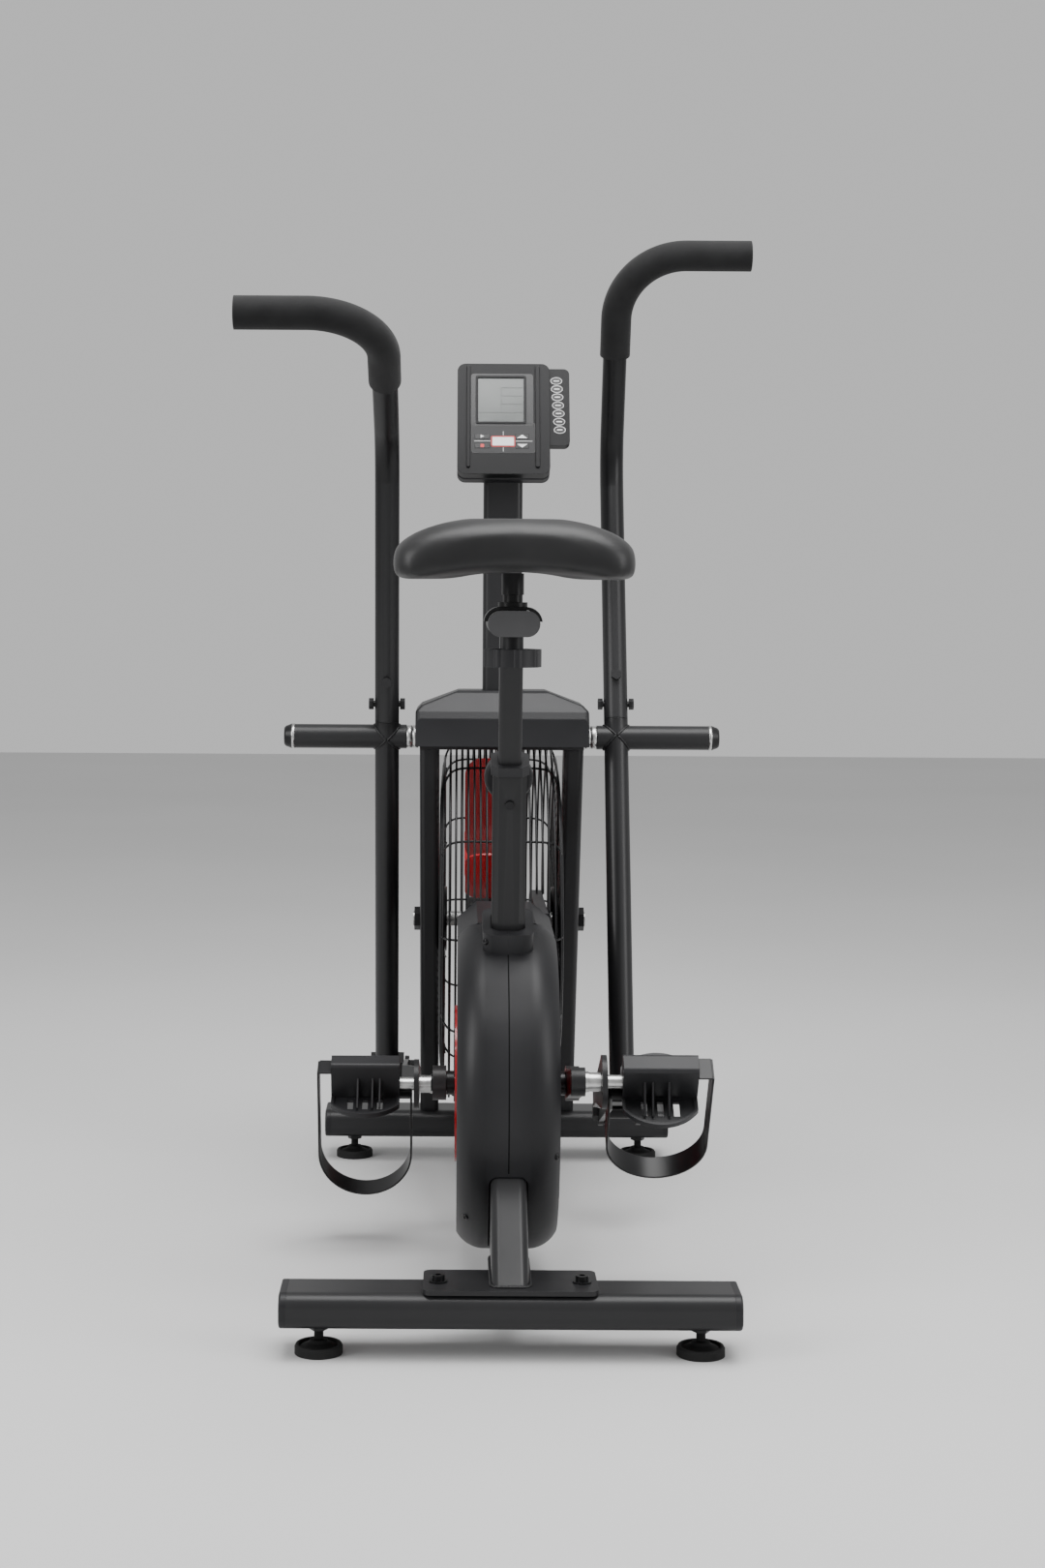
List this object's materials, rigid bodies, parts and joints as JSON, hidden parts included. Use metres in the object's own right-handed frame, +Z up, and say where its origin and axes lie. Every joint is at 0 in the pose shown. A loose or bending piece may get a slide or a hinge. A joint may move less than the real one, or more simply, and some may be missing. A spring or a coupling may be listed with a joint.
{
  "type": "air bike",
  "caption": "Fan-resisted exercise bike with a wire-caged fan, swinging arm levers linked to the pedals, a sliding saddle and a console on a mast.",
  "frame": {"origin": "bottom centre of the bounding box, on the floor the feet rest on", "axes": "+Z up, +Y forward the way the rider faces, +X to the rider's right"},
  "size_m": [0.652, 1.0744, 1.276],
  "materials": {
    "black_steel": "satin powder coat",
    "cage_wire": "satin powder coat",
    "grey_plastic": "fine texture",
    "console_face": "fine texture",
    "red_gloss": "gloss",
    "zinc": "zinc plated",
    "black_hardware": "black oxide",
    "pulley_plastic": "moulded",
    "rubber": "matte",
    "foam": "matte foam",
    "strap": "satin",
    "saddle_skin": "smooth matte vinyl",
    "lcd": "satin window",
    "keycap": "satin"
  },
  "bodies": {
    "frame": {"rear_stabiliser": "black_steel", "front_stabiliser": "black_steel", "stabiliser_end_caps": "grey_plastic", "rear_post": "black_steel", "base_beam": "black_steel", "seat_tube": "black_steel", "seat_collar": "grey_plastic", "bracket_bearings": "zinc", "upright_left": "black_steel", "upright_right": "black_steel", "top_crossmember": "black_steel", "console_mast": "black_steel", "top_cover": "grey_plastic", "shroud_left": "grey_plastic", "shroud_right": "grey_plastic", "accent_discs": "red_gloss", "fixing_screws": "black_hardware", "hex_nuts": "black_hardware", "fan_axle": "zinc", "cage_left": "cage_wire", "cage_right": "cage_wire", "drive_belt": "rubber", "console_front": "console_face", "console_back": "grey_plastic", "console_lens": "lcd"},
    "crank": {"crank_spindle": "black_hardware", "crank_pulley": "pulley_plastic", "crank_arm_left": "black_steel", "crank_arm_right": "black_steel", "pedal_axles": "zinc"},
    "fan": {"fan_hub": "grey_plastic", "fan_blades": "red_gloss", "fan_bearings": "zinc"},
    "seat": {"seat_post": "black_steel", "rail_caps": "grey_plastic"},
    "saddle": {"saddle_carriage": "black_steel", "saddle_pad": "saddle_skin"},
    "rail_knob": {"carriage_knob": "grey_plastic"},
    "pull_pin": {"pop_pin": "grey_plastic"},
    "pedal_left_body": {"pedal_left": "grey_plastic", "toe_strap_left": "strap"},
    "link_left_body": {"link_left": "black_steel"},
    "lever_left": {"arm_left": "black_steel", "handlebar_left": "black_steel", "grip_left": "foam"},
    "pedal_right_body": {"pedal_right": "grey_plastic", "toe_strap_right": "strap"},
    "link_right_body": {"link_right": "black_steel"},
    "lever_right": {"arm_right": "black_steel", "handlebar_right": "black_steel", "grip_right": "foam"},
    "foot_rear_left_body": {"foot_rear_left": "rubber"},
    "foot_rear_right_body": {"foot_rear_right": "rubber"},
    "foot_front_left_body": {"foot_front_left": "rubber"},
    "foot_front_right_body": {"foot_front_right": "rubber"},
    "enter_key_body": {"enter_key": "keycap"},
    "up_key_body": {"up_key": "keycap"},
    "down_key_body": {"down_key": "keycap"},
    "start_key_body": {"start_key": "keycap"},
    "stop_key_body": {"stop_key": "keycap"}
  },
  "joints": [
    {"name": "crank_spin", "type": "hinge", "parent": "frame", "child": "crank", "pos_m": [0, -0.20925, 0.232], "axis": [1, 0, 0], "continuous": true},
    {"name": "fan_spin", "type": "hinge", "parent": "frame", "child": "fan", "pos_m": [0, 0.28575, 0.358], "axis": [1, 0, 0], "continuous": true},
    {"name": "pedal_left_spin", "type": "hinge", "parent": "crank", "child": "pedal_left_body", "pos_m": [0, -0.07744, 0.20331], "axis": [1, 0, 0], "continuous": true},
    {"name": "link_left_turn", "type": "hinge", "parent": "crank", "child": "link_left_body", "pos_m": [0, -0.07744, 0.20331], "axis": [1, 0, 0], "continuous": true},
    {"name": "pedal_right_spin", "type": "hinge", "parent": "crank", "child": "pedal_right_body", "pos_m": [0, -0.34106, 0.26069], "axis": [1, 0, 0], "continuous": true},
    {"name": "link_right_turn", "type": "hinge", "parent": "crank", "child": "link_right_body", "pos_m": [0, -0.34106, 0.26069], "axis": [1, 0, 0], "continuous": true},
    {"name": "right_arm", "type": "hinge", "parent": "frame", "child": "lever_right", "pos_m": [0, 0.17275, 0.616], "axis": [1, 0, 0], "range_deg": [0, 33]},
    {"name": "left_arm", "type": "hinge", "parent": "frame", "child": "lever_left", "pos_m": [0, 0.17275, 0.616], "axis": [1, 0, 0], "range_deg": [-33, 0]},
    {"name": "seat_height", "type": "slide", "parent": "frame", "child": "seat", "axis": [0, -0.2924, 0.9563], "range_m": [-0.1, 0.12]},
    {"name": "seat_slide", "type": "slide", "parent": "seat", "child": "saddle", "axis": [0, 1, 0], "range_m": [-0.034, 0.01]},
    {"name": "knob_turn", "type": "hinge", "parent": "saddle", "child": "rail_knob", "pos_m": [0, -0.42725, 0.737], "axis": [0, 0, 1], "range_deg": [0, 360]},
    {"name": "pin_pull", "type": "slide", "parent": "frame", "child": "pull_pin", "axis": [0, 0.9563, 0.2924], "range_m": [0, 0.01], "stiffness_N_per_m": 1500, "springref_m": -0.002},
    {"name": "foot_rear_left_level", "type": "slide", "parent": "frame", "child": "foot_rear_left_body", "axis": [0, 0, 1], "range_m": [-0.012, 0]},
    {"name": "foot_rear_right_level", "type": "slide", "parent": "frame", "child": "foot_rear_right_body", "axis": [0, 0, 1], "range_m": [-0.012, 0]},
    {"name": "foot_front_left_level", "type": "slide", "parent": "frame", "child": "foot_front_left_body", "axis": [0, 0, 1], "range_m": [-0.012, 0]},
    {"name": "foot_front_right_level", "type": "slide", "parent": "frame", "child": "foot_front_right_body", "axis": [0, 0, 1], "range_m": [-0.012, 0]},
    {"name": "enter_press", "type": "slide", "parent": "frame", "child": "enter_key_body", "axis": [0, 0.9397, -0.342], "range_m": [0, 0.0008], "stiffness_N_per_m": 600},
    {"name": "up_press", "type": "slide", "parent": "frame", "child": "up_key_body", "axis": [0, 0.9397, -0.342], "range_m": [0, 0.0008], "stiffness_N_per_m": 600},
    {"name": "down_press", "type": "slide", "parent": "frame", "child": "down_key_body", "axis": [0, 0.9397, -0.342], "range_m": [0, 0.0008], "stiffness_N_per_m": 600},
    {"name": "start_press", "type": "slide", "parent": "frame", "child": "start_key_body", "axis": [0, 0.9397, -0.342], "range_m": [0, 0.0008], "stiffness_N_per_m": 600},
    {"name": "stop_press", "type": "slide", "parent": "frame", "child": "stop_key_body", "axis": [0, 0.9397, -0.342], "range_m": [0, 0.0008], "stiffness_N_per_m": 600}
  ],
  "couplings": [
    {"joint": "fan_spin", "follows": "crank_spin", "ratio": 4.5},
    {"joint": "link_left_turn", "follows": "crank_spin", "ratio": -1},
    {"joint": "link_right_turn", "follows": "crank_spin", "ratio": -1},
    {"joint": "left_arm", "follows": "right_arm", "ratio": -1}
  ]
}
